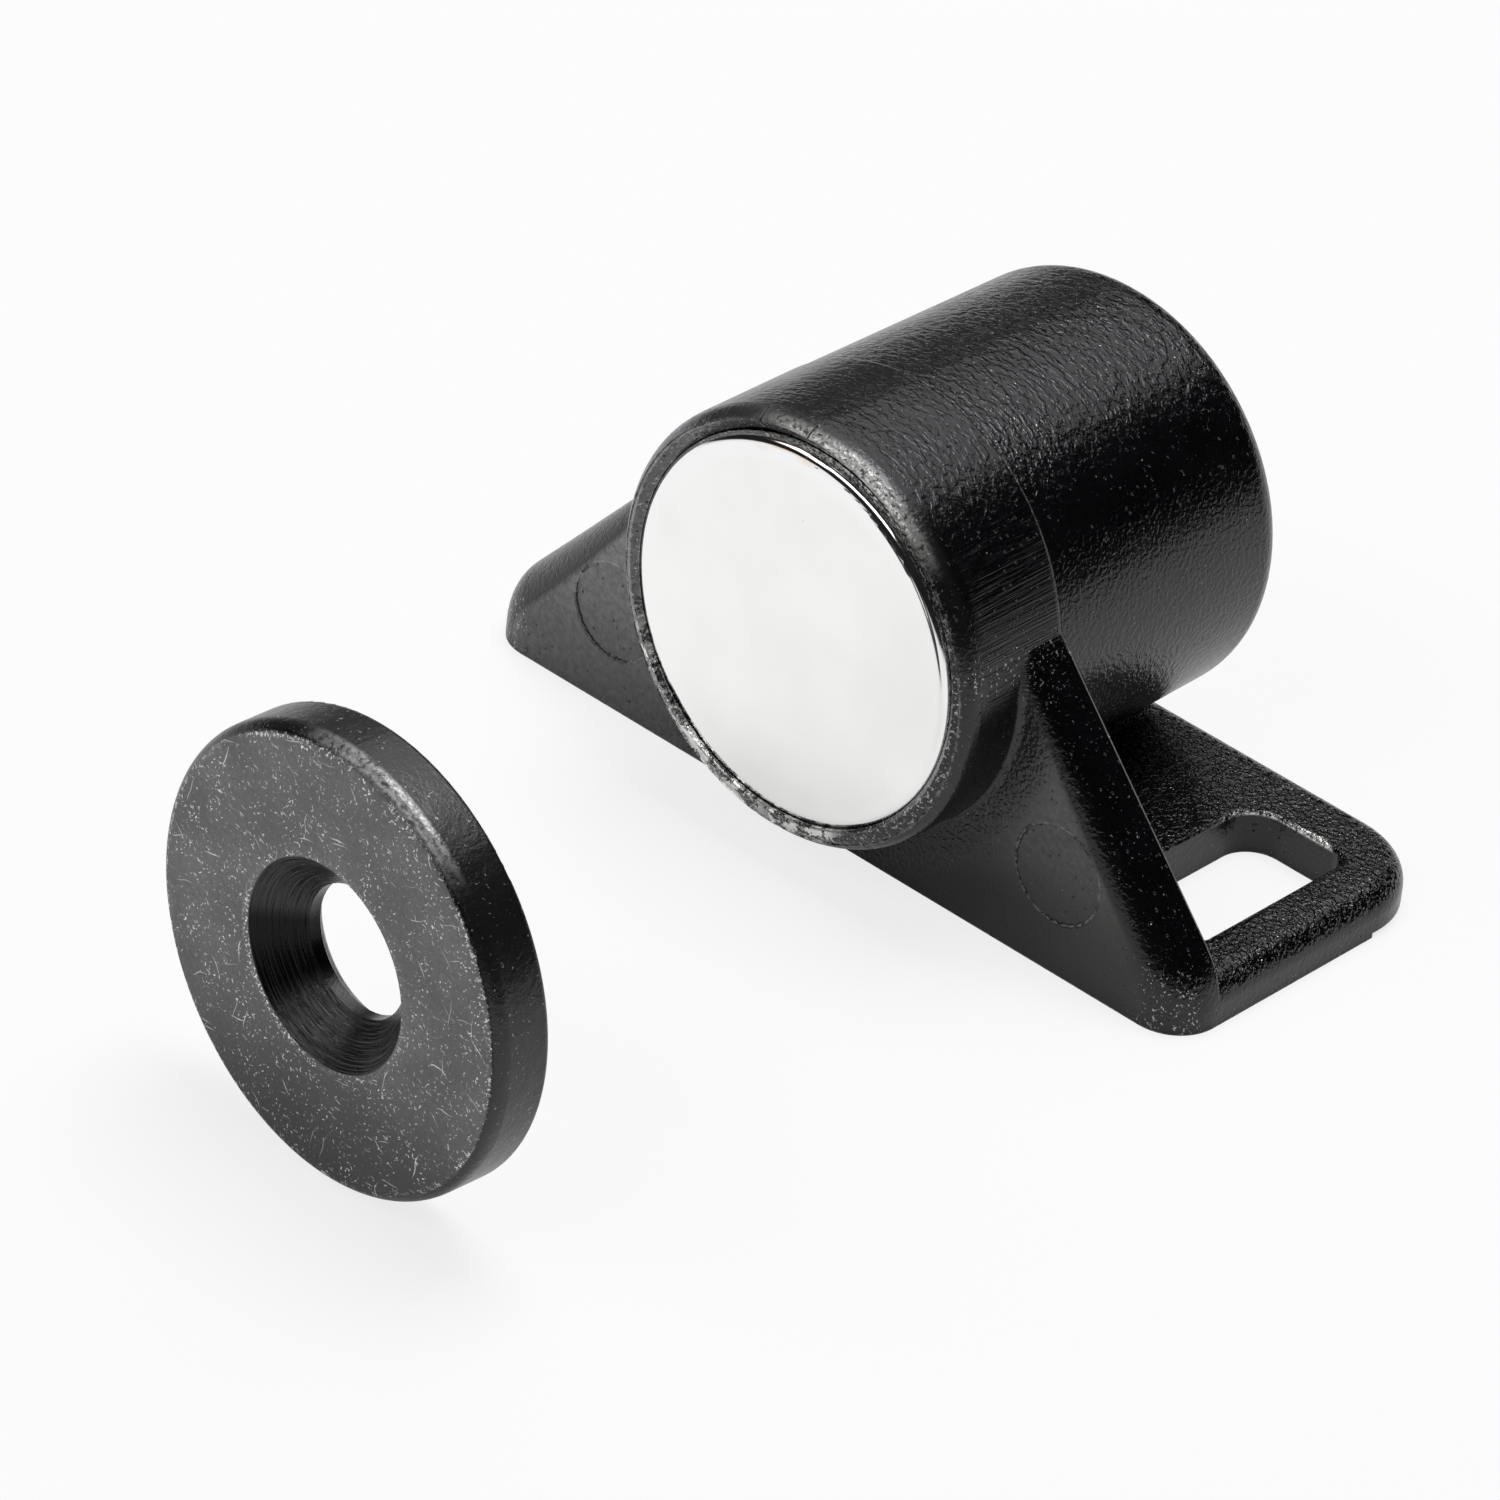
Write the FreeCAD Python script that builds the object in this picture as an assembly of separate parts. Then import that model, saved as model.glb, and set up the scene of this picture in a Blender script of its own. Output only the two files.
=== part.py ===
"""Magnetic catch for a cabinet door: cast housing, plated magnet and screw-on strike.

Millimetres. X runs across the wings, Y along the barrel and Z up. The origin lies under
the barrel's axis, at the foot of the flange's front face. The magnet faces -Y.
"""
import FreeCAD, Part
import math
import os

from FreeCAD import Vector

# Magnet and its seat
magnet_r = 7.65
magnet_t = 5.0
magnet_round = 0.4
magnet_recess = 0.15      # face below the rim's crest
magnet_clear = 0.05       # gap all round in the seat
lip_reach = 0.1           # how far the crimped lip reaches over the magnet's edge
lip_round = 0.13          # inner edge of the lip
lip_open = 0.2            # the lip stands this far off the magnet's side, on the average
lip_open_up = 0.42        # and is less crimped at the top: centre of its inner bevel
crimp_w = 0.62            # ring that the crimping tool has pressed into the rim
crimp_depth = 0.04
crack_degs = (107.0, 91.0, 262.0, 292.0, 303.0)  # cracks across the lip, from +X to +Z
crack_w = 0.07
crack_len = 1.0
crack_depth = 0.2         # under the rim's rounding

# Foot plate with its two screw slots
half_width = 17.5         # outer side of foot and wing
foot_t = 1.85
foot_back_y = 14.7
foot_corner_r = 3.6
foot_edge_round = 1.0     # upper outer edge
slot_w = 4.5
rail_w = 2.5              # rail outside the slot
slot_front_gap = 1.35     # from the flange's back to the slot
slot_back_rim = 2.8       # from the slot to the foot's back edge
slot_in_corner_r = 1.4
slot_out_corner_r = 0.6
slot_edge_round = 0.12
rail_edge_round = 0.55    # inner upper edge of the rail
heel_len = 3.9            # relieved strip under the back of the foot
heel_relief = 0.2
heel_clear = 0.3          # kept whole around the slots
slot_in_x = half_width - rail_w - slot_w

# Barrel
barrel_wall = 0.8         # around the magnet's seat, at the parting plane
barrel_draft_front = 0.4  # degrees, widening towards the mouth
barrel_draft_back = 0.85  # degrees, narrowing towards the back
barrel_sink = 0.25        # how deep the barrel's underside lies in the foot plate
barrel_over = 0.1         # closed back behind the foot's back edge
barrel_foot_round = 0.5   # hollow blend between barrel and foot
mouth_y = 3.2             # mouth in front of the flange's face
mouth_round = 1.0         # outer edge of the crimped rim
parting_step = 0.03       # the front half of the casting stands this much proud
parting_lean_deg = 5.0    # the parting plane leans back above the wings
back_round = 1.3
barrel_r = magnet_r + magnet_clear + barrel_wall
barrel_back_y = foot_back_y + barrel_over
axis_h = foot_t - barrel_sink + barrel_r

# Flange with its two wings
flange_t = 2.15
side_h = 2.0              # height of the wings' outer side, under the slope
slope_meets_deg = 14.6    # where the slope meets the barrel, above its axis
wing_corner_r = 3.6       # lower outer corner in the front view
wing_edge_land = 0.25     # what the rounded front edge leaves of the flange's thickness
wing_tip_round = 0.38     # the same rounding where the wing's edge ends inside the barrel
wing_root_round = 0.3     # hollow blend from the barrel to the flange's face
ejector_in = 6.4          # mark of an ejector pin, from the wing's outer side
ejector_z = 4.15
ejector_r = 2.0
ejector_depth = 0.04
wing_edge_round = flange_t - wing_edge_land

# Strike
strike_r = 8.8
strike_t = 2.5
strike_hole_r = 2.5
strike_sink_r = 4.0
strike_back_break = 0.5   # chamfer of the hole at the back
strike_front_round = 0.7
strike_back_round = 0.25
strike_gap = 26.0         # magnet's rim to the strike's front face
strike_x = 2.85
strike_turn_deg = -3.6    # turn about Z, as it stands in front of the catch

UP = Vector(0, 0, 1)


def rounded_face(points, radii, plane):
    """Face of a polygon whose corner i is rounded by radii[i]; plane maps (a, b) to 3-D."""
    count = len(points)
    edges = []
    starts = []
    ends = []
    mids = []
    for i in range(count):
        corner = Vector(points[i][0], points[i][1], 0)
        before = Vector(points[i - 1][0], points[i - 1][1], 0)
        after = Vector(points[(i + 1) % count][0], points[(i + 1) % count][1], 0)
        to_before = (before - corner).normalize()
        to_after = (after - corner).normalize()
        radius = radii[i]
        half = to_before.getAngle(to_after) / 2
        tangent = radius / math.tan(half)
        middle = (to_before + to_after).normalize()
        starts.append(corner + to_before * tangent)
        ends.append(corner + to_after * tangent)
        mids.append(corner + middle * (radius / math.sin(half) - radius))
    for i in range(count):
        if radii[i] > 0:
            arc = Part.Arc(plane(starts[i]), plane(mids[i]), plane(ends[i]))
            edges.append(arc.toShape())
        nxt = (i + 1) % count
        if (starts[nxt] - ends[i]).Length > 1e-6:
            edges.append(Part.makeLine(plane(ends[i]), plane(starts[nxt])))
    return Part.Face(Part.Wire(Part.__sortEdges__(edges)))


def front_plane(p):
    """Front view: (x, z) at y = 0."""
    return Vector(p.x, 0, p.y)


def top_plane(p):
    """Top view: (x, y) at z = 0."""
    return Vector(p.x, p.y, 0)


def barrel_point(radius, y):
    """Point above the barrel's axis, for profiles that are turned about it."""
    return Vector(0, y, axis_h + radius)


def line(a, b):
    return Part.makeLine(a, b)


def arc(centre, radius, from_deg, to_deg):
    """Arc in the Y-radius plane; 0 degrees points to +radius, 90 degrees to +Y."""
    pts = []
    for deg in (from_deg, (from_deg + to_deg) / 2, to_deg):
        a = math.radians(deg)
        pts.append(Vector(0, centre.y + radius * math.sin(a), centre.z + radius * math.cos(a)))
    return Part.Arc(*pts).toShape()


def turn(edges):
    """Solid of the closed profile turned about the barrel's axis."""
    face = Part.Face(Part.Wire(Part.__sortEdges__(edges)))
    return face.revolve(Vector(0, 0, axis_h), Vector(0, 1, 0), 360)


def front_radius(y):
    """Radius of the barrel's front half at y, drafted towards the parting plane."""
    return barrel_r + parting_step + (flange_t - y) * math.tan(math.radians(barrel_draft_front))


def back_radius(y):
    """Radius of the barrel's back half at y."""
    return barrel_r - (y - flange_t) * math.tan(math.radians(barrel_draft_back))


def behind_parting():
    """Block behind the parting plane, which leans back from where the wings' slopes end."""
    size = 4 * half_width
    block = Part.makeBox(size, size, size)
    block.translate(Vector(-size / 2, 0, -size / 2))
    block.rotate(Vector(0, 0, 0), Vector(1, 0, 0), -parting_lean_deg)
    wing_top = axis_h + barrel_r * math.sin(math.radians(slope_meets_deg))
    block.translate(Vector(0, flange_t, wing_top))
    return block


def barrel_front():
    """Barrel from the mouth to the parting plane, with the crimping tool's ring in its rim."""
    mouth_r = front_radius(-mouth_y)
    crimp_round = mouth_round - crimp_depth
    centre = barrel_point(mouth_r - mouth_round, -mouth_y + crimp_round)
    crimp_deg = math.degrees(math.asin(crimp_w / crimp_round))
    crest = barrel_point(mouth_r - mouth_round, -mouth_y)
    step = []
    for radius in (crimp_round, mouth_round):
        a = math.radians(90 - crimp_deg)
        step.append(Vector(0, centre.y - radius * math.sin(a), centre.z + radius * math.cos(a)))
    mouth_out = barrel_point(mouth_r, centre.y)
    far_y = flange_t + barrel_r * math.tan(math.radians(parting_lean_deg))
    far = barrel_point(front_radius(far_y), far_y)
    whole = turn([
        line(barrel_point(0, -mouth_y), crest),
        arc(centre, crimp_round, -90, crimp_deg - 90),
        line(step[0], step[1]),
        arc(centre, mouth_round, crimp_deg - 90, 0),
        line(mouth_out, far),
        line(far, barrel_point(0, far_y)),
        line(barrel_point(0, far_y), barrel_point(0, -mouth_y)),
    ])
    return whole.cut(behind_parting())


def barrel_back():
    """Barrel from inside the front half to its closed, rounded back."""
    back_r = back_radius(barrel_back_y)
    start_y = flange_t / 2
    start = barrel_point(back_radius(start_y), start_y)
    back_out = barrel_point(back_r, barrel_back_y - back_round)
    back_in = barrel_point(back_r - back_round, barrel_back_y)
    return turn([
        line(barrel_point(0, start_y), start),
        line(start, back_out),
        arc(barrel_point(back_r - back_round, barrel_back_y - back_round), back_round, 0, 90),
        line(back_in, barrel_point(0, barrel_back_y)),
        line(barrel_point(0, barrel_back_y), barrel_point(0, start_y)),
    ])


def wing_outline(low):
    """Front view of the right wing, from the middle out, down to z = low."""
    axis = Vector(0, axis_h, 0)
    side = Vector(half_width, side_h, 0)
    meet = math.radians(slope_meets_deg)
    meets = axis + Vector(math.cos(meet), math.sin(meet), 0) * barrel_r
    slope = (meets - side).normalize()
    inside = side + slope * (axis - side).dot(slope)
    points = [(0, low), (half_width, low), (half_width, side_h),
              (inside.x, inside.y), (0, inside.y)]
    return points, [0, 0, wing_corner_r, 0, 0]


def varied_fillet(solid, radii):
    """Fillets whose radius changes along the edge: {edge number: (first, last)}."""
    doc = FreeCAD.newDocument("fillet")
    base = doc.addObject("Part::Feature", "base")
    base.Shape = solid
    fillet = doc.addObject("Part::Fillet", "fillet")
    fillet.Base = base
    fillet.Edges = [(number, first, last) for number, (first, last) in radii.items()]
    doc.recompute()
    result = fillet.Shape.copy()
    FreeCAD.closeDocument(doc.Name)
    return result.Solids[0]


def wing_blank():
    """Right wing down below the mounting plane; its rounded front edge narrows to the barrel."""
    points, radii = wing_outline(-2 * flange_t)
    wing = rounded_face(points, radii, front_plane).extrude(Vector(0, flange_t, 0))
    rounds = {}
    for number, edge in enumerate(wing.Edges, start=1):
        box = edge.BoundBox
        if box.YMax > 0.001 or box.XMax < barrel_r or box.ZLength < 0.001:
            continue
        ends = []
        for parameter in (edge.FirstParameter, edge.LastParameter):
            in_barrel = edge.valueAt(parameter).x < barrel_r
            ends.append(wing_tip_round if in_barrel else wing_edge_round)
        rounds[number] = tuple(ends)
    return varied_fillet(wing, rounds)


def foot_blank():
    """Plate behind the flange, with rounded back corners and a rounded upper edge."""
    w = half_width
    y0 = flange_t
    points = [(-w, y0), (w, y0), (w, foot_back_y), (-w, foot_back_y)]
    radii = [0, 0, foot_corner_r, foot_corner_r]
    plate = rounded_face(points, radii, top_plane).extrude(UP * foot_t)
    upper = []
    for edge in plate.Edges:
        box = edge.BoundBox
        if box.ZMin > foot_t - 0.001 and box.YMax > y0 + 0.001:
            upper.append(edge)
    return plate.makeFillet(foot_edge_round, upper)


def slot_corners():
    """Corners of the right slot in the top view, and their radii."""
    x0 = slot_in_x
    x1 = slot_in_x + slot_w
    y0 = flange_t + slot_front_gap
    y1 = foot_back_y - slot_back_rim
    points = [(x0, y0), (x1, y0), (x1, y1), (x0, y1)]
    radii = [slot_in_corner_r, slot_out_corner_r, slot_out_corner_r, slot_in_corner_r]
    return points, radii


def slot_cutter():
    points, radii = slot_corners()
    cutter = rounded_face(points, radii, top_plane).extrude(UP * 2 * foot_t)
    cutter.translate(UP * -0.5 * foot_t)
    return cutter


def seat_cutter():
    """Blind seat of the magnet; the crimped lip follows the magnet's rounded edge."""
    c = magnet_clear
    face_y = -mouth_y + magnet_recess
    seat_y = face_y + magnet_t
    round_y = face_y + magnet_round
    round_r = magnet_r - magnet_round
    lip_r = magnet_r - lip_reach
    over_r = magnet_round + c
    lip_deg = math.degrees(math.acos((lip_r - round_r) / over_r))
    lip_y = round_y - over_r * math.sin(math.radians(lip_deg))
    crest_r = lip_r + lip_round
    return turn([
        line(barrel_point(0, seat_y), barrel_point(magnet_r + c, seat_y)),
        line(barrel_point(magnet_r + c, seat_y), barrel_point(magnet_r + c, round_y)),
        arc(barrel_point(round_r, round_y), over_r, 0, -lip_deg),
        line(barrel_point(lip_r, lip_y), barrel_point(lip_r, -mouth_y + lip_round)),
        arc(barrel_point(crest_r, -mouth_y + lip_round), lip_round, 180, 270),
        line(barrel_point(crest_r, -mouth_y), barrel_point(crest_r, -mouth_y - 1)),
        line(barrel_point(crest_r, -mouth_y - 1), barrel_point(0, -mouth_y - 1)),
        line(barrel_point(0, -mouth_y - 1), barrel_point(0, seat_y)),
    ])


def lip_cutter():
    """Off-centre inner bevel of the lip, which leaves it closed below and open at the top."""
    deep = magnet_recess + magnet_round
    open_r = magnet_r + lip_open
    cone = Part.makeCone(open_r + deep, open_r - deep, 2 * deep, Vector(0, 0, 0), Vector(0, 1, 0))
    cone.translate(Vector(0, -mouth_y + magnet_recess - deep, axis_h + lip_open_up))
    return cone


def crack_cutters():
    """Fine cracks across the rim's rounding, deepest at its middle."""
    cutters = []
    for deg in crack_degs:
        slab = Part.makeBox(mouth_round, crack_len, crack_w)
        slab.translate(Vector(mouth_round - crack_depth, -crack_len / 2, -crack_w / 2))
        slab.rotate(Vector(0, 0, 0), UP, -45)
        slab.translate(Vector(front_radius(-mouth_y) - mouth_round, -mouth_y + mouth_round, 0))
        slab.rotate(Vector(0, 0, 0), Vector(0, 1, 0), -deg)
        slab.translate(UP * axis_h)
        cutters.append(slab)
    return cutters


def mirrored(shape):
    return shape.mirror(Vector(0, 0, 0), Vector(1, 0, 0))


def ease_slot(body):
    """Rounds the slots' upper edges: fine where they were trimmed, soft along the rail."""
    x_rail = slot_in_x + slot_w
    rounds = {}
    for number, edge in enumerate(body.Edges, start=1):
        box = edge.BoundBox
        low_x = min(abs(box.XMin), abs(box.XMax))
        high_x = max(abs(box.XMin), abs(box.XMax))
        flat = abs(box.ZMin - foot_t) < 0.001 and abs(box.ZMax - foot_t) < 0.001
        inside = low_x > slot_in_x - 0.01 and high_x < x_rail + 0.01
        if not flat or not inside or box.YMax > foot_back_y - slot_back_rim + 0.01:
            continue
        ends = []
        for parameter in (edge.FirstParameter, edge.LastParameter):
            on_rail = abs(abs(edge.valueAt(parameter).x) - x_rail) < 0.01
            ends.append(rail_edge_round if on_rail else slot_edge_round)
        rounds[number] = tuple(ends)
    return varied_fillet(body, rounds)


def ejector_cutter():
    """Pin mark: flat, a trace below the wing's face."""
    start = Vector(half_width - ejector_in, -ejector_depth, ejector_z)
    return Part.makeCylinder(ejector_r, 2 * ejector_depth, start, Vector(0, 1, 0))


def housing():
    body = barrel_back().fuse(foot_blank()).removeSplitter()
    hollow = []
    for edge in body.Edges:
        box = edge.BoundBox
        on_plate = abs(box.ZMin - foot_t) < 0.001 and abs(box.ZMax - foot_t) < 0.001
        under_barrel = box.XMax < barrel_r and box.XMin > -barrel_r
        if on_plate and under_barrel and box.YLength > barrel_r:
            hollow.append(edge)
    body = body.makeFillet(barrel_foot_round, hollow)
    wing = wing_blank()
    body = body.fuse([barrel_front(), wing, mirrored(wing)]).removeSplitter()
    below = Part.makeBox(4 * half_width, 4 * half_width, half_width)
    below.translate(Vector(-2 * half_width, -2 * half_width, -half_width))
    body = body.cut(below)
    root = []
    for edge in body.Edges:
        box = edge.BoundBox
        if box.YMax < 0.001 and box.YMin > -0.001 and box.ZLength > barrel_r / 2:
            middle = edge.valueAt((edge.FirstParameter + edge.LastParameter) / 2)
            if abs(math.hypot(middle.x, middle.z - axis_h) - front_radius(0)) < 0.01:
                root.append(edge)
    body = body.makeFillet(wing_root_round, root)
    slot_end_y = foot_back_y - slot_back_rim
    slot_out_x = half_width - rail_w
    heel = Part.makeBox(4 * half_width, 2 * heel_len, heel_relief)
    heel.translate(Vector(-2 * half_width, foot_back_y - heel_len, 0))
    whole = Part.makeBox(2 * (slot_out_x + heel_clear), heel_len, heel_relief)
    whole.translate(Vector(-slot_out_x - heel_clear, slot_end_y + heel_clear - heel_len, 0))
    heel = heel.cut(whole)
    slot = slot_cutter()
    pin = ejector_cutter()
    body = body.cut([heel, slot, mirrored(slot), pin, mirrored(pin), seat_cutter()])
    body = body.cut([lip_cutter()] + crack_cutters())
    return ease_slot(body.removeSplitter().Solids[0])


def magnet():
    face_y = -mouth_y + magnet_recess
    back_y = face_y + magnet_t
    r = magnet_r
    e = magnet_round
    return turn([
        line(barrel_point(0, face_y), barrel_point(r - e, face_y)),
        arc(barrel_point(r - e, face_y + e), e, -90, 0),
        line(barrel_point(r, face_y + e), barrel_point(r, back_y - e)),
        arc(barrel_point(r - e, back_y - e), e, 0, 90),
        line(barrel_point(r - e, back_y), barrel_point(0, back_y)),
        line(barrel_point(0, back_y), barrel_point(0, face_y)),
    ])


def strike():
    """Washer standing on its rim, countersunk towards the front."""
    front = Part.makeCylinder(strike_r, strike_t, Vector(0, 0, 0), Vector(0, 1, 0))
    rims = {0.0: strike_front_round, strike_t: strike_back_round}
    for y, radius in rims.items():
        edges = []
        for edge in front.Edges:
            box = edge.BoundBox
            if abs(box.YMin - y) < 0.001 and box.YLength < 0.001:
                edges.append(edge)
        front = front.makeFillet(radius, edges)
    sink = strike_sink_r - strike_hole_r
    hole = Part.makeCylinder(strike_hole_r, 2 * strike_t, Vector(0, -0.5, 0), Vector(0, 1, 0))
    cone = Part.makeCone(strike_sink_r, strike_hole_r, sink, Vector(0, 0, 0), Vector(0, 1, 0))
    broad_r = strike_hole_r + strike_back_break
    broad = Part.makeCone(strike_hole_r, broad_r, strike_back_break,
                          Vector(0, strike_t - strike_back_break, 0), Vector(0, 1, 0))
    washer = front.cut([hole, cone, broad])
    washer.rotate(Vector(0, 0, 0), UP, strike_turn_deg)
    washer.translate(Vector(strike_x, -mouth_y - strike_gap, strike_r))
    return washer


def main():
    os.makedirs("parts", exist_ok=True)
    for name, build in (("housing", housing), ("magnet", magnet), ("strike", strike)):
        shape = build()
        solids = shape.Solids
        if len(solids) != 1:
            raise SystemExit(name + " has " + str(len(solids)) + " solids")
        solids[0].exportStep("parts/" + name + ".step")


main()
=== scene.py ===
"""Magnetic catch for a cabinet door: worn black casting, plated magnet, blackened strike.

Metres. X runs across the wings, Y along the barrel and Z up. The magnet faces -Y.
Finishes work in millimetres.
"""

import math

import bpy
from mathutils import Matrix, Vector

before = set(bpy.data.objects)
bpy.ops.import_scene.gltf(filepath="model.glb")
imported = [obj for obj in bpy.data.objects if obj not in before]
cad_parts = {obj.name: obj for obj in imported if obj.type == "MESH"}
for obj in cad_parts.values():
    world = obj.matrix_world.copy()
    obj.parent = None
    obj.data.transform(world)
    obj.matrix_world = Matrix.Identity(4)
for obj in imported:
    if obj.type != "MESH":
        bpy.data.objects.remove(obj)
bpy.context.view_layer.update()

MM = 0.001
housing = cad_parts["housing"]
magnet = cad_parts["magnet"]
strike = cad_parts["strike"]

# Camera, as fitted to the photograph: azimuth and elevation of its place, its roll,
# its distance from the point that it looks at, and the lens on a 36 mm sensor.
CAMERA_AZIMUTH = math.radians(40.211)
CAMERA_ELEVATION = math.radians(33.544)
CAMERA_ROLL = math.radians(5.829)
CAMERA_DISTANCE = 351.73 * MM
CAMERA_TARGET = Vector((-3.862, 0.0, 1.745)) * MM
CAMERA_LENS = 228.82
CAMERA_SENSOR = 36.0
CAMERA_CLIP = (0.02, 10)

# Lamps: name, place and size in millimetres, and radiance. One of radiance 1 looks white.
LAMPS = (("overhead_softbox", (-54, 160, 400), (430, 540), 1.3),
         ("overhead_core", (0, 60, 420), (210, 200), 7.0))

# Cards, all at one distance from the lamps' aim: name, azimuth and elevation in degrees,
# size in millimetres and radiance.
CARDS = (("left_back_card", -125, 20, (260, 300), 0.15),
         ("front_left_card", -45, 38, (200, 140), 2.0),
         ("front_card", -5, 48, (300, 120), 2.8))
CARD_DISTANCE = 420
LAMP_AIM = Vector((0, 0, 8))
WORLD_STRENGTH = 0.01

# Floor: its half width in metres, its colour, and how far it is white for the camera and
# in reflections.
FLOOR_HALF = 1.5
FLOOR_COLOUR = 0.86
FLOOR_CAMERA_WHITE = 0.8
FLOOR_GLOSSY_WHITE = 0.25

# Sizes of the housing and the magnet that their finishes follow, in millimetres.
AXIS_HEIGHT = 10.1
BARREL_R = 8.5
MAGNET_R = 7.65
RIM_BACK_Y = -2.0
WING_BACK_Y = 2.15
WING_TOP_Z = 12.24
PARTING_LEAN = math.tan(math.radians(5.0))
HALF_WIDTH = 17.5
SLOPE_OUT = 0.741
SLOPE_UP = 0.6715
SLOPE_Z = 2.0
FOOT_T = 1.85
EJECTOR_SIDE = 11.1
EJECTOR_Z = 4.15
EJECTOR_R = 2.0
SLOT_IN_X = 10.5
SLOT_OUT_X = 15.0
SLOT_FRONT_Y = 3.5
SLOT_BACK_Y = 11.9
SLOT_CORNER_R = 1.4

# Sizes of the strike. Its centre is the middle of its face, and its back lies behind that.
STRIKE_CENTRE = (2.85, -29.2, 8.8)
STRIKE_TURN = math.radians(-3.6)
STRIKE_R = 8.8
STRIKE_ROUND = 0.7
STRIKE_BACK = -2.5
FACE_R = 8.5
SINK_R = 4.0

# Relief of the casting's finish: heights and depths in millimetres.
WRINKLES_BEHIND = 0.034
WRINKLES_IN_FRONT = 0.02
LEATHER_FOOT = 0.04
LEATHER_ROOT = 0.04
LEATHER_SLOPE = 0.004
LEATHER_LOW_SIDE = 0.01
LEATHER_ALL_OVER = 0.006
LEATHER_SLOT_EDGE = 0.04
FINE_GRAIN = 0.007
POLISHING_LINES = 0.04
CAST_RAGGED = 0.06
CAST_LUMPS = 0.08
PIT_DEPTH = 0.03
PARTING_DEPTH = 0.045
EJECTOR_DEPTH = 0.05
CHIP_DEPTH = 0.04

# Relief of the plating and of the strike's finish, in the same way.
PLATE_STREAKS = 0.0015
PLATE_WAVES = 0.01
PLATE_PITS = 0.01
TOOL_LINES = 0.075
STRIKE_FINE = 0.012
FACE_GRIT = 0.03
RIM_GRIT = 0.02
RIM_DENTS = 0.05
SCRATCH_DEPTH = 0.008

# Scratches on the strike: turn in radians, length, width, and share of places that have one.
SCRATCHES = ((0.3, 0.9, 0.04, 0.045), (1.45, 1.2, 0.04, 0.05), (2.35, 0.8, 0.04, 0.045),
             (0.75, 0.16, 0.05, 0.1), (1.9, 0.2, 0.045, 0.1), (2.9, 0.3, 0.04, 0.07))

# Colours of the finishes.
PAINT_DEEP = (0.0012, 0.0013, 0.0018, 1)
PAINT_WORN = (0.002, 0.0021, 0.0028, 1)
OLIVE_METAL = (0.13, 0.135, 0.095, 1)
BARE_ZINC = (0.6, 0.6, 0.58, 1)
FRESH_ZINC = (0.9, 0.9, 0.87, 1)
NICKEL_DULL = (0.95, 0.95, 0.94, 1)
NICKEL_BRIGHT = (0.99, 0.99, 0.98, 1)
COPPER_TRACE = (0.85, 0.55, 0.3, 1)
WHITE = (1, 1, 1, 1)


def direction(azimuth, elevation):
    """Unit vector from the object towards a place at that azimuth (0 is -Y) and elevation."""
    return Vector((math.sin(azimuth) * math.cos(elevation),
                   -math.cos(azimuth) * math.cos(elevation),
                   math.sin(elevation)))


def add_camera():
    back = direction(CAMERA_AZIMUTH, CAMERA_ELEVATION)
    level = Vector((math.cos(CAMERA_AZIMUTH), math.sin(CAMERA_AZIMUTH), 0))
    upright = back.cross(level)
    right = level * math.cos(CAMERA_ROLL) + upright * math.sin(CAMERA_ROLL)
    up = upright * math.cos(CAMERA_ROLL) - level * math.sin(CAMERA_ROLL)
    data = bpy.data.cameras.new("camera")
    data.lens = CAMERA_LENS
    data.sensor_width = CAMERA_SENSOR
    data.clip_start, data.clip_end = CAMERA_CLIP
    camera = bpy.data.objects.new("camera", data)
    bpy.context.scene.collection.objects.link(camera)
    place = CAMERA_TARGET + back * CAMERA_DISTANCE
    turn = Matrix((right, up, back)).transposed().to_4x4()
    camera.matrix_world = Matrix.Translation(place) @ turn
    bpy.context.scene.camera = camera


def add_softbox(name, centre, size, radiance):
    """Rectangular area lamp at centre, in millimetres, that faces the object's middle."""
    data = bpy.data.lights.new(name, "AREA")
    data.shape = "RECTANGLE"
    data.size = size[0] * MM
    data.size_y = size[1] * MM
    data.energy = radiance * math.pi * data.size * data.size_y
    lamp = bpy.data.objects.new(name, data)
    bpy.context.scene.collection.objects.link(lamp)
    lamp.location = Vector(centre) * MM
    lamp.rotation_mode = "QUATERNION"
    look = (LAMP_AIM - Vector(centre)).normalized()
    lamp.rotation_quaternion = look.to_track_quat("-Z", "Y")


def add_card(name, azimuth, elevation, size, radiance):
    """Softbox placed by its azimuth and elevation, in degrees, from the object."""
    back = direction(math.radians(azimuth), math.radians(elevation))
    add_softbox(name, LAMP_AIM + back * CARD_DISTANCE, size, radiance)


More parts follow.
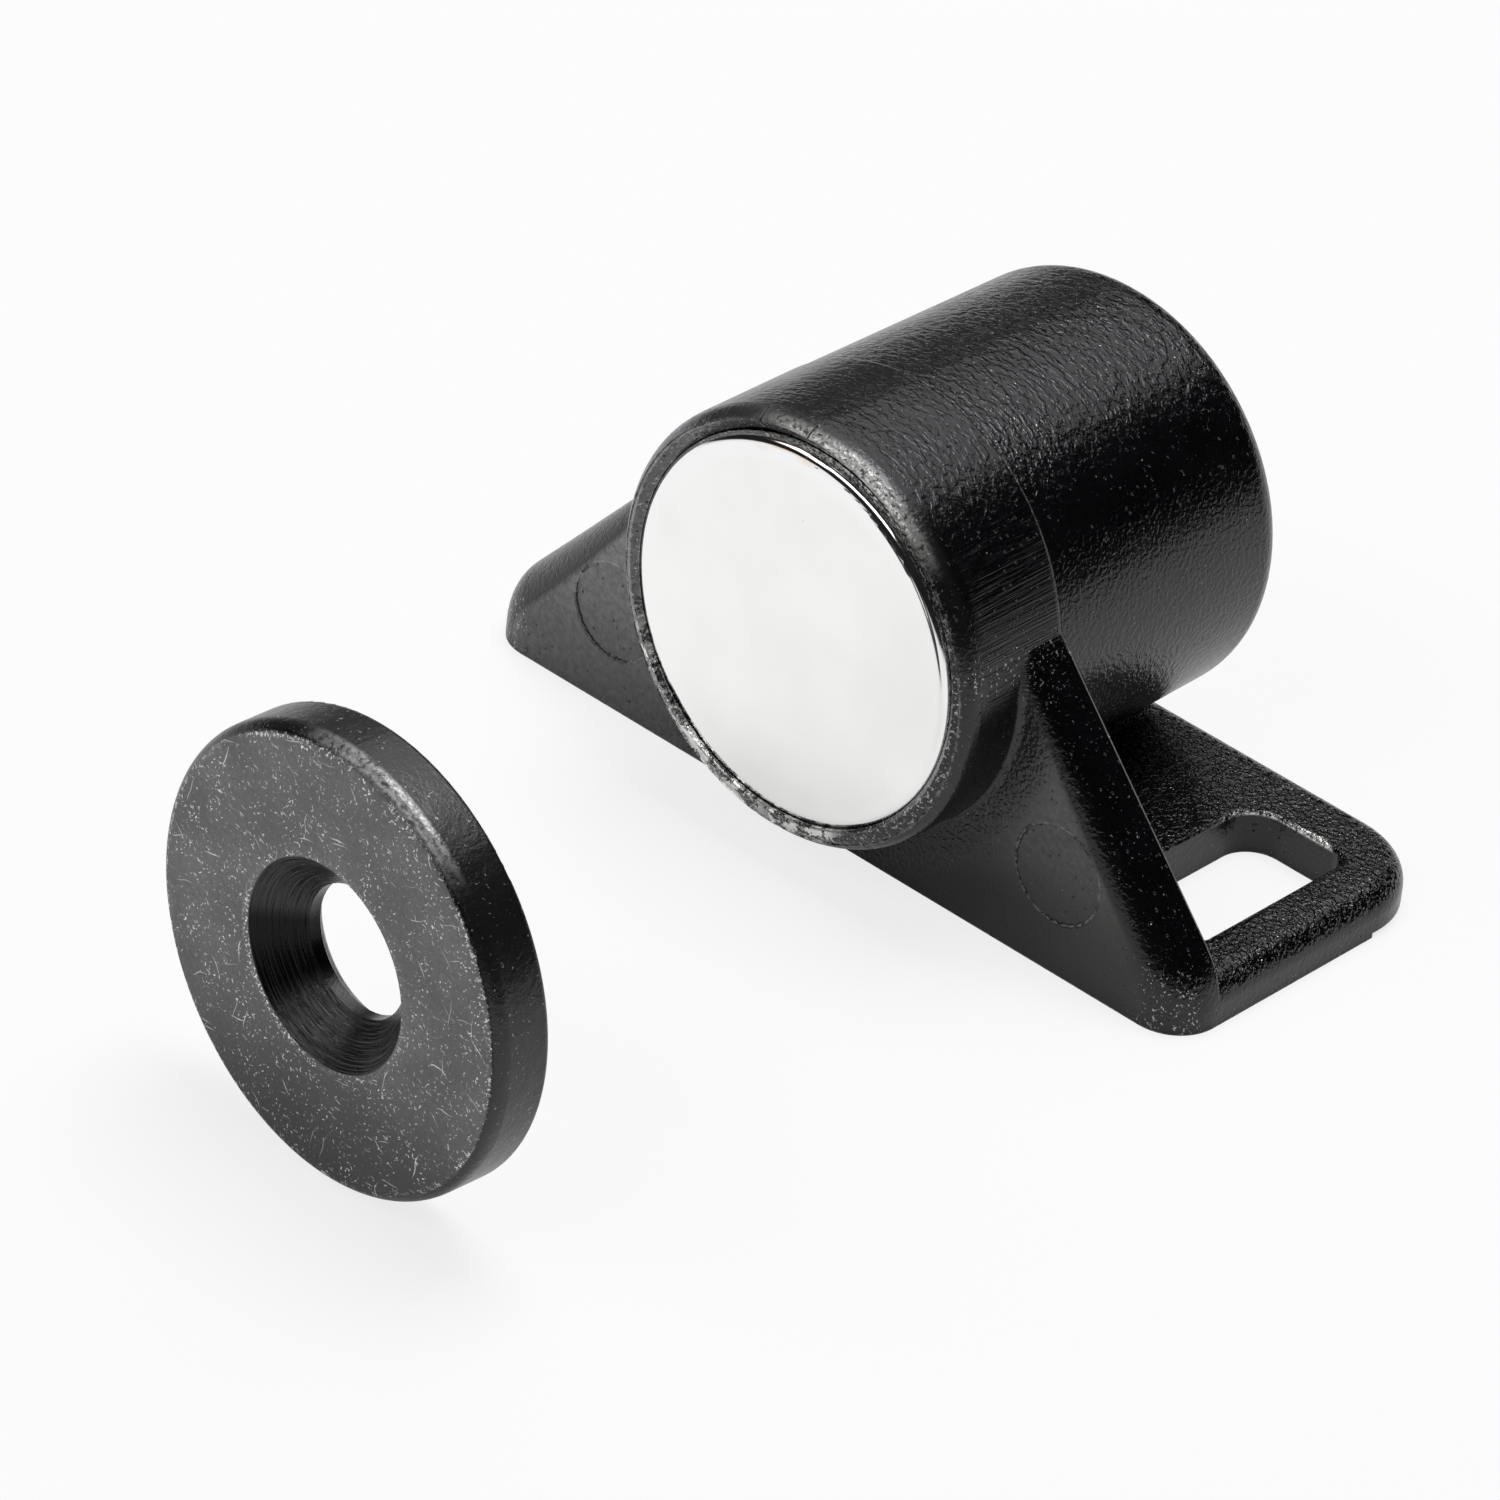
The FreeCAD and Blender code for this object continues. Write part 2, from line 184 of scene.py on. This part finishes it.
class Finish:
    """Shader nodes of one finish, with short calls for those that it is made of."""

    def __init__(self, name):
        self.material = bpy.data.materials.new(name)
        self.material.use_nodes = True
        self.tree = self.material.node_tree
        self.shader = self.tree.nodes["Principled BSDF"]

    def feed(self, socket, value):
        if isinstance(value, Field):
            self.tree.links.new(value.socket, socket)
        else:
            socket.default_value = value

    def add(self, kind, inputs, settings=()):
        node = self.tree.nodes.new("ShaderNode" + kind)
        for name, value in dict(settings).items():
            setattr(node, name, value)
        for name, value in inputs.items():
            self.feed(node.inputs[name], value)
        return node

    def facing_up(self):
        """Upward part of the surface's own direction, before any relief."""
        split = self.add("SeparateXYZ", {})
        turned = self.add("TexCoord", {}).outputs["Normal"]
        self.tree.links.new(turned, split.inputs[0])
        return Field(self, split.outputs[2])

    def math(self, operation, *values):
        node = self.add("Math", {}, {"operation": operation})
        for socket, value in zip(node.inputs, values):
            self.feed(socket, value)
        return Field(self, node.outputs[0])

    def place(self):
        """x, y and z of the surface in millimetres."""
        place = self.add("TexCoord", {}).outputs["Object"]
        split = self.add("SeparateXYZ", {"Vector": Field(self, place)})
        return [Field(self, split.outputs[i]) * (1 / MM) for i in range(3)]

    def point(self, x, y, z=0.0):
        return Field(self, self.add("CombineXYZ", {"X": x, "Y": y, "Z": z}).outputs[0])

    def noise(self, point, scale, detail=2.0, roughness=0.5, distortion=0.0):
        """Soft noise from 0 to 1, about half on the average."""
        node = self.add("TexNoise", {"Vector": point, "Scale": scale, "Detail": detail,
                                     "Roughness": roughness, "Distortion": distortion})
        return Field(self, node.outputs["Fac"])

    def cells(self, point, scale):
        """Distance to the nearest scattered point, and that point's own random number."""
        node = self.add("TexVoronoi", {"Vector": point, "Scale": scale})
        chance = self.add("SeparateColor", {"Color": Field(self, node.outputs["Color"])})
        return Field(self, node.outputs["Distance"]), Field(self, chance.outputs[0])

    def ramp(self, value, low, high):
        """Smooth step: 0 at low and beyond, 1 at high and beyond."""
        node = self.add("MapRange", {"Value": value, "From Min": low, "From Max": high},
                        {"interpolation_type": "SMOOTHSTEP"})
        return Field(self, node.outputs["Result"])

    def band(self, value, middle, half, soft):
        """1 within half of middle, falling to 0 over soft."""
        return self.ramp(self.math("ABSOLUTE", value - middle), half + soft, half)

    def blend(self, share, first, second):
        """Colour between first and second."""
        node = self.add("MixRGB", {"Fac": share, "Color1": first, "Color2": second})
        return Field(self, node.outputs[0])

    def bump(self, height):
        """Normal of a relief whose height is in millimetres."""
        node = self.add("Bump", {"Height": height, "Strength": 1.0, "Distance": MM})
        return Field(self, node.outputs[0])

    def edges(self, reach):
        """1 on edges and corners within reach, in millimetres, and 0 on smooth faces."""
        soft = self.add("Bevel", {"Radius": reach * MM}, {"samples": 6})
        flat = self.add("NewGeometry", {})
        both = self.add("VectorMath", {}, {"operation": "DOT_PRODUCT"})
        self.tree.links.new(soft.outputs[0], both.inputs[0])
        self.tree.links.new(flat.outputs["Normal"], both.inputs[1])
        return self.ramp(Field(self, both.outputs["Value"]), 0.985, 0.86)

    def set(self, **values):
        """Inputs of the shader, whose names have _ for a space."""
        for name, value in values.items():
            self.feed(self.shader.inputs[name.replace("_", " ")], value)


class Field:
    """A number over the surface that a node gives; it adds and multiplies as one."""

    def __init__(self, finish, socket):
        self.finish = finish
        self.socket = socket

    def __add__(self, other):
        return self.finish.math("ADD", self, other)

    def __sub__(self, other):
        return self.finish.math("SUBTRACT", self, other)

    def __rsub__(self, other):
        return self.finish.math("SUBTRACT", other, self)

    def __mul__(self, other):
        return self.finish.math("MULTIPLY", self, other)

    __radd__ = __add__
    __rmul__ = __mul__

    def most(self, other):
        return self.finish.math("MAXIMUM", self, other)

    def least(self, other):
        return self.finish.math("MINIMUM", self, other)


def length(finish, a, b):
    return finish.math("SQRT", a * a + b * b)


def grey(value):
    return (value, value, value, 1)


def scratches(f, a, b, turn, long, wide, share):
    """Short marks: scattered ovals, long by wide millimetres, turned from the a axis.

    Each is the neighbourhood of a scattered point in coordinates that are squeezed along
    the mark, and a share of the points, drawn by their random number, has one.
    """
    along = a * math.cos(turn) + b * math.sin(turn)
    across = b * math.cos(turn) - a * math.sin(turn)
    bend = f.noise(f.point(a + turn, b), 0.8, 1.0) * 0.6
    squeezed = f.point(along * (0.5 / long), (across + bend) * (0.5 / wide), turn)
    distance, chance = f.cells(squeezed, 1.0)
    return f.ramp(distance, 0.28, 0.16) * f.math("LESS_THAN", chance, share)


def flecks(f, point, size, share):
    """Ragged specks: noise of that size in millimetres above the level that a share passes."""
    rough = f.noise(point, 0.6 / size, 2.0, 0.7)
    return f.ramp(rough, 0.80 - share, 0.83 - share)


def black_casting():
    """Worn black paint on a die casting: leathery grain, bare edges, chips and specks, with
    painted shade, highlights and glints.

    Each zone is 1 where its finish lies and 0 elsewhere. Angles round the barrel are in
    radians, from straight up towards +X.
    """
    f = Finish("black_casting")
    x, y, z = f.place()
    p = f.point(x, y, z)
    side = f.math("ABSOLUTE", x)
    up = z - AXIS_HEIGHT
    radius = length(f, x, up)
    angle = f.math("ARCTAN2", x, up)
    round_it = angle * BARREL_R
    right = f.ramp(x, -4.0, 4.0)
    parting_y = WING_BACK_Y + (z - WING_TOP_Z) * PARTING_LEAN
    behind = f.ramp(y - parting_y, -0.1, 0.1)
    on_barrel = f.ramp(radius, BARREL_R + 0.5, BARREL_R + 0.1) * f.ramp(y, -2.3, -1.7)
    face = f.ramp(y, 0.1, 0.02) * f.ramp(radius, 8.55, 8.7)
    rim = f.ramp(y, RIM_BACK_Y, RIM_BACK_Y - 0.5)
    slope = (side - HALF_WIDTH) * SLOPE_OUT + (z - SLOPE_Z) * SLOPE_UP
    strip = (f.ramp(slope, -1.1, -0.3) * f.ramp(y, WING_BACK_Y + 0.25, WING_BACK_Y + 0.15)
             * f.ramp(side, 8.0, 8.4))
    upward = f.ramp(f.facing_up(), 0.25, 0.75)
    foot = f.ramp(z, 3.4, 2.4) * f.ramp(y, 2.2, 2.4) * upward
    broad = f.noise(p, 0.16, 2.0)
    patches = f.noise(p, 0.7, 3.0)
    ragged = f.noise(p, 3.5, 3.0, 0.7)

    # Grain: wrinkles that run round the barrel, leather on the foot and at the wings' roots,
    # and the fine lines that polishing left in the front half of the mould.
    wrinkles = f.noise(f.point(round_it * 2.3, y * 4.0, radius * 2.0), 1.0, 2.0, 0.55, 0.3)
    wrinkles = f.ramp(wrinkles, 0.4, 0.62) * 0.75 + wrinkles * 0.25
    leather = f.noise(p, 5.2, 1.0, 0.5)
    leather = f.ramp(leather, 0.4, 0.62) * 0.75 + leather * 0.25
    fine = f.noise(p, 11.0, 2.0)
    lines = f.noise(f.point(round_it * 9.0, y * 0.15, radius), 1.0, 3.0, 0.6)
    drawn = (f.band(angle, 1.15, 0.25, 0.25) * f.ramp(y - parting_y, 0.0, -0.2)
             * on_barrel)
    root = f.ramp(radius, 11.2, 9.4) * face * (0.3 + 0.7 * right)
    coarse = 0.45 + f.ramp(broad, 0.35, 0.6) * 0.55
    calm = 1 - 0.85 * face * (1 - root)
    rear = on_barrel * behind
    low_side = f.ramp(angle, 0.6, 1.1).most(f.ramp(radius, 7.6, 6.8))
    wrinkled = rear * WRINKLES_BEHIND + on_barrel * (1 - behind) * WRINKLES_IN_FRONT
    wrinkled = wrinkled * coarse * (1 - low_side)
    leathery = (foot * LEATHER_FOOT + strip * LEATHER_SLOPE + (1 - on_barrel) * LEATHER_ALL_OVER
                + root * LEATHER_ROOT) * calm
    leathery = leathery + rear * low_side * LEATHER_LOW_SIDE
    grain = (wrinkles * wrinkled + leather * leathery + fine * FINE_GRAIN
             + lines * drawn * POLISHING_LINES)

    # Small round pits in the paint, the parting line and the ring of the ejector pin.
    pit_distance, pit_chance = f.cells(p, 3.2)
    pits = f.ramp(pit_distance, 0.22, 0.1) * f.ramp(pit_chance, 0.45, 0.4)
    parting = (f.band(y - parting_y, 0.0, 0.03, 0.05) * f.ramp(radius, 9.0, 8.8)
               * f.ramp(ragged, 0.3, 0.5))
    ejector = length(f, side - EJECTOR_SIDE, z - EJECTOR_Z)
    ring = f.band(ejector + (ragged - 0.5) * 0.3, EJECTOR_R, 0.03, 0.06) * face
    ring = ring * f.ramp(patches, 0.46, 0.54) * f.ramp(ragged, 0.4, 0.5)
    ring = ring * right.most(f.ramp(side - z * 0.5, 8.5, 9.0))
    cast = face * (1 - right)
    grain = grain - pits * PIT_DEPTH - parting * PARTING_DEPTH - ring * EJECTOR_DEPTH
    grain = grain + (ragged * CAST_RAGGED + patches * CAST_LUMPS) * cast

    # Wear: bare metal on edges, chips and specks on the rim, and dust in the grain. Some of this
    # bare metal paints light: the line on the wings' back edge and the band on the rim's upper
    # shoulder are painted highlights, and the specks on the foot and the upper back of the
    # barrel are painted glints.
    edge = f.edges(0.14)
    slot_x = f.math("ABSOLUTE", side - (SLOT_IN_X + SLOT_OUT_X) / 2)
    slot_y = f.math("ABSOLUTE", y - (SLOT_FRONT_Y + SLOT_BACK_Y) / 2)
    out_x = (slot_x - ((SLOT_OUT_X - SLOT_IN_X) / 2 - SLOT_CORNER_R)).most(0.0)
    out_y = (slot_y - ((SLOT_BACK_Y - SLOT_FRONT_Y) / 2 - SLOT_CORNER_R)).most(0.0)
    slot_off = length(f, out_x, out_y) - SLOT_CORNER_R
    outer = f.ramp(side, 11.2, 14.0)
    slot_edge = (f.ramp(slot_off + (ragged - 0.5) * 0.6, 0.06 + outer * 0.2, outer * 0.15 - 0.02)
                 * f.ramp(z, FOOT_T - 0.25, FOOT_T - 0.12) * f.ramp(y, 9.0, 11.0)
                 * f.ramp(side, SLOT_OUT_X + 0.1, SLOT_OUT_X - 0.5) * f.ramp(ragged, 0.3, 0.42))
    edge_wear = edge * f.ramp(ragged, 0.4, 0.56)
    closed = f.band(angle, -2.55, 0.4, 0.35).most(f.band(angle, 3.0, 0.2, 0.2))
    upper = f.band(angle, 0.25, 0.3, 0.35)
    inner = f.ramp(radius, 8.35, 8.15)
    mottle = f.noise(p, 6.5, 3.0, 0.75)
    beside = f.ramp(x, -8.5, -3.0) * 0.03
    chips = rim * inner * f.ramp(mottle + upper * 0.075 + closed * 0.05 + beside, 0.6, 0.64)
    big_chips = rim * inner * closed * f.ramp(f.noise(p, 2.1, 4.0, 0.7), 0.49, 0.52)
    gaps = rim * inner * closed * f.ramp(ragged, 0.5, 0.42)
    # The band on the rim's upper shoulder is worn metal that also paints the highlight there.
    shoulder_wear_and_highlight = upper * f.band(radius, 8.36, 0.05, 0.14) * rim
    shoulder_wear_and_highlight = shoulder_wear_and_highlight * f.ramp(mottle, 0.35, 0.55)
    near_corner = f.band(side, 16.6, 0.9, 1.2) * f.band(y, 0.4, 0.6, 0.6) * f.ramp(z, 3.0, 2.0)
    near_top = f.ramp(z, 10.3, 12.2) * strip
    # Specks of dust and wear; their greater share on the foot and on the upper back of the
    # barrel paints glints.
    crowd = (0.06 + strip * 0.035 + near_corner * 0.1 + near_top * 0.06 + rim * 0.03
             + foot * 0.06 + rear * coarse * f.ramp(angle, 0.8, 0.4) * 0.045 - face * 0.01)
    rough = f.noise(p, 7.5, 2.0, 0.7)
    dust_and_glints = f.ramp(rough + crowd, 0.775, 0.81)
    # The bare line along the wings' back edge is wear that also paints the highlight on that
    # edge.
    back_edge_wear_and_highlight = (f.band(y, WING_BACK_Y, 0.03, 0.04) * f.ramp(slope, -0.12, -0.04)
                 * f.ramp(side, 8.4, 8.8) * f.ramp(ragged, 0.3, 0.45))
    bare = (edge_wear * 0.5).most(slot_edge).most(chips * 0.7).most(big_chips).most(dust_and_glints * 0.7)
    bare = bare.most(back_edge_wear_and_highlight * 0.6).most(shoulder_wear_and_highlight * 0.85)
    grain = grain - big_chips * CHIP_DEPTH + slot_edge * leather * LEATHER_SLOT_EDGE

    # Colours: paint, the metal that shows through where it is rubbed, and bare zinc. The rubbed
    # share is smaller on the right wing, most towards its bottom, and on the rim's right, which
    # paints the shade there.
    paint = f.blend(f.ramp(patches, 0.3, 0.7), PAINT_DEEP, PAINT_WORN)
    tinted = f.band(z, 1.5, 1.5, 1.5) * face * f.ramp(x, 2.0, 5.0)
    face_rub_and_shade = 0.02 + 0.48 * f.ramp(z, 1.5, 5.5) + 0.5 * (1 - right)
    rim_rub_and_shade = 0.04 + 0.1 * upper + 0.7 * (1 - right) * (1 - upper)
    rubbed = (face * face_rub_and_shade.least(1.0)).most(rim * rim_rub_and_shade) * (1 - gaps)
    burnished = f.blend(f.ramp(ragged, 0.35, 0.65), grey(0.14), grey(0.2))
    burnished = f.blend(tinted * 0.6, burnished, OLIVE_METAL)
    # The metal is darker at the right wing's root, which paints the shade in the crease by the
    # barrel.
    burnished = f.blend(root * right * 0.7, burnished, grey(0.06))
    paint = f.blend(rubbed, paint, burnished)
    paint = f.blend((pits * 0.6).most(parting).most(ring * 0.8), paint, grey(0.002))
    metal = f.blend(big_chips.most(slot_edge), BARE_ZINC, FRESH_ZINC)
    f.set(Base_Color=f.blend(bare, paint, metal),
          Metallic=(bare * 0.85).most(rubbed),
          Roughness=0.19 + 0.06 * patches + 0.08 * bare - 0.04 * foot,
          Specular_Tint=(0.96, 0.96, 1, 1),
          IOR=1.5,
          Normal=f.bump(grain))
    return f.material


def nickel_plate():
    """Bright plating with a little haze, faint upright streaks and a few pits."""
    f = Finish("nickel_plate")
    x, y, z = f.place()
    up = z - AXIS_HEIGHT
    radius = length(f, x, up)
    p = f.point(x, y, z)
    streaks = f.noise(f.point(x * 2.4, y, z * 0.22), 1.0, 3.0)
    clouds = f.noise(p, 0.28, 2.0)
    pits = flecks(f, p, 0.14, 0.03)
    top_left = f.ramp(up - x * 0.4, 2.0, 6.0)
    worn = f.band(radius, MAGNET_R - 0.45, 0.15, 0.5) * (0.3 + 0.7 * top_left)
    bright = f.blend(f.ramp(clouds, 0.3, 0.7), NICKEL_DULL, NICKEL_BRIGHT)
    bright = f.blend(worn * 0.8, bright, WHITE)
    stain = f.ramp(f.noise(p, 0.9, 2.0), 0.5, 0.62) * f.band(radius, MAGNET_R - 0.3, 0.1, 0.2)
    stain = stain * f.band(x, -1.0, 0.8, 1.0) * f.ramp(up, 5.0, 6.0)
    bright = f.blend(stain * 0.35, bright, COPPER_TRACE)
    f.set(Base_Color=f.blend(pits, bright, grey(0.2)),
          Metallic=1.0,
          Roughness=0.09 + 0.05 * streaks + 0.3 * pits,
          Normal=f.bump(streaks * PLATE_STREAKS + clouds * PLATE_WAVES - pits * PLATE_PITS))
    return f.material


def blackened_steel():
    """Black oxide on turned steel: satin face with fine scratches, glossy rim, tool lines."""
    f = Finish("blackened_steel")
    x, y, z = f.place()
    cos, sin = math.cos(STRIKE_TURN), math.sin(STRIKE_TURN)
    off_x = x - STRIKE_CENTRE[0]
    off_y = y - STRIKE_CENTRE[1]
    across = off_x * cos + off_y * sin
    out = off_x * sin - off_y * cos
    up = z - STRIKE_CENTRE[2]
    radius = length(f, across, up)
    angle = f.math("ARCTAN2", across, up)
    p = f.point(across, up, out)
    clouds = f.noise(p, 0.35, 3.0)
    grit = f.noise(p, 4.0, 3.0, 0.7)
    border = radius + (grit - 0.5) * 0.12
    rim = f.ramp(border, FACE_R - 0.04, FACE_R + 0.04)
    rim = rim.most(f.ramp(out, STRIKE_BACK + 0.3, STRIKE_BACK + 0.1))
    sink = (f.ramp(radius, SINK_R + 0.02, SINK_R - 0.04)
            * f.ramp(out, STRIKE_BACK + 0.05, STRIKE_BACK + 0.2))
    face = (1 - rim) * f.ramp(radius, SINK_R - 0.03, SINK_R + 0.03)
    fine = f.noise(p, 9.0, 2.0, 0.6)
    marks = None
    for turn, long, wide, share in SCRATCHES:
        drawn = scratches(f, across, up, turn, long, wide, share)
        marks = drawn if marks is None else marks.most(drawn)
    rubbed = f.ramp(f.noise(p, 0.7, 3.0, 0.65), 0.4, 0.6)
    worn_side = f.band(angle, -2.3, 0.6, 0.7)
    patchy = f.ramp(f.noise(p, 0.45, 2.0), 0.42, 0.58)
    marks = marks.most(flecks(f, p, 0.09, 0.14 + rubbed * 0.045)) * (0.4 + 0.6 * rubbed)
    speckle = f.ramp(fine, 0.54, 0.6)
    mouth = f.band(radius, SINK_R + 0.06, 0.06, 0.26) * speckle * (0.15 + 0.85 * worn_side)
    brim = f.band(border, FACE_R - 0.08, 0.05, 0.12) * speckle * patchy
    nicks = rim * flecks(f, p, 0.1, 0.125)
    # A bare band on the front of the rim, towards the upper right, paints the highlight there.
    rim_painted_highlight = f.band(out, -0.42, 0.12, 0.25) * f.band(angle, 0.25, 0.25, 0.3) * (1 - face)
    rim_painted_highlight = rim_painted_highlight * f.ramp(grit, 0.3, 0.6)
    bare = (marks * face).most(mouth * face).most(brim * face * 0.8).most(nicks * 0.4)
    bare = bare.most(rim_painted_highlight * 0.35)
    seam = f.band(border, FACE_R + 0.04, 0.03, 0.07) * f.ramp(up, -5.0, 0.0)

    # Tool lines are rings of uneven depth, so their noise varies with the radius. The drop
    # of the front rounding is made up on the face, which keeps it looking flat to its edge.
    lines = f.noise(f.point(radius * 15.0, angle * 1.1, out * 0.5), 1.0, 2.0, 0.6)
    dents = f.noise(p, 0.8, 2.0)
    past = (radius - (STRIKE_R - STRIKE_ROUND)).most(0.0).least(0.5)
    drop = STRIKE_ROUND - f.math("SQRT", STRIKE_ROUND * STRIKE_ROUND - past * past)
    relief = (lines * sink * TOOL_LINES + fine * STRIKE_FINE + grit * FACE_GRIT * face
              - marks * face * SCRATCH_DEPTH + grit * rim * RIM_GRIT + dents * rim * RIM_DENTS
              + drop * face)

    oxide = f.blend(f.ramp(clouds, 0.3, 0.7), grey(0.125), grey(0.17))
    oxide = f.blend(f.ramp(grit, 0.35, 0.65) * 0.35, oxide, grey(0.085))
    # The oxide darkens towards the bottom of the face, which paints the shade there.
    oxide = f.blend(f.ramp(up, -1.5, -7.0) * 0.8, oxide, grey(0.075))
    oxide = f.blend(rim, oxide, grey(0.008))
    # A black band on the lower left of the countersink paints its shade and dark reflection.
    sink_painted_shade = f.band(angle, -1.95, 0.3, 0.3)
    oxide = f.blend(sink, oxide, f.blend(sink_painted_shade * 0.9, grey(0.055), grey(0.005)))
    oxide = f.blend(seam, oxide, grey(0.001))
    f.set(Base_Color=f.blend(bare, oxide, grey(0.85)),
          Metallic=(face * 0.9).most(sink * 0.85).most(bare) * (1 - seam),
          Roughness=0.34 - 0.06 * rim - 0.06 * sink + 0.08 * (grit - 0.5),
          IOR=1.55,
          Normal=f.bump(relief))
    return f.material


def paper():
    """Pale floor: part of it shines white for the camera and in reflections."""
    f = Finish("paper")
    mix = f.add("MixShader", {})
    matt = f.add("BsdfDiffuse", {"Color": grey(FLOOR_COLOUR)})
    white = f.add("Emission", {"Color": WHITE, "Strength": 1.0})
    path = f.add("LightPath", {})
    seen = Field(f, path.outputs["Is Camera Ray"]) * FLOOR_CAMERA_WHITE
    mirrored = Field(f, path.outputs["Is Glossy Ray"]) * FLOOR_GLOSSY_WHITE
    f.feed(mix.inputs["Fac"], seen.most(mirrored))
    f.tree.links.new(matt.outputs[0], mix.inputs[1])
    f.tree.links.new(white.outputs[0], mix.inputs[2])
    f.tree.links.new(mix.outputs[0], f.tree.nodes["Material Output"].inputs["Surface"])
    f.tree.nodes.remove(f.shader)
    return f.material


def add_floor():
    half = FLOOR_HALF
    mesh = bpy.data.meshes.new("floor")
    mesh.from_pydata([(-half, -half, 0), (half, -half, 0), (half, half, 0), (-half, half, 0)],
                     [], [(0, 1, 2, 3)])
    mesh.materials.append(paper())
    floor = bpy.data.objects.new("floor", mesh)
    bpy.context.scene.collection.objects.link(floor)


def add_world():
    world = bpy.data.worlds.new("studio")
    world.use_nodes = True
    background = world.node_tree.nodes["Background"]
    background.inputs["Color"].default_value = WHITE
    background.inputs["Strength"].default_value = WORLD_STRENGTH
    bpy.context.scene.world = world


def dress(node, material):
    for slot in node.material_slots:
        slot.material = material


add_camera()
add_world()
add_floor()
for lamp in LAMPS:
    add_softbox(*lamp)
for card in CARDS:
    add_card(*card)
dress(housing, black_casting())
dress(magnet, nickel_plate())
dress(strike, blackened_steel())

bpy.context.scene.view_settings.view_transform = "Standard"
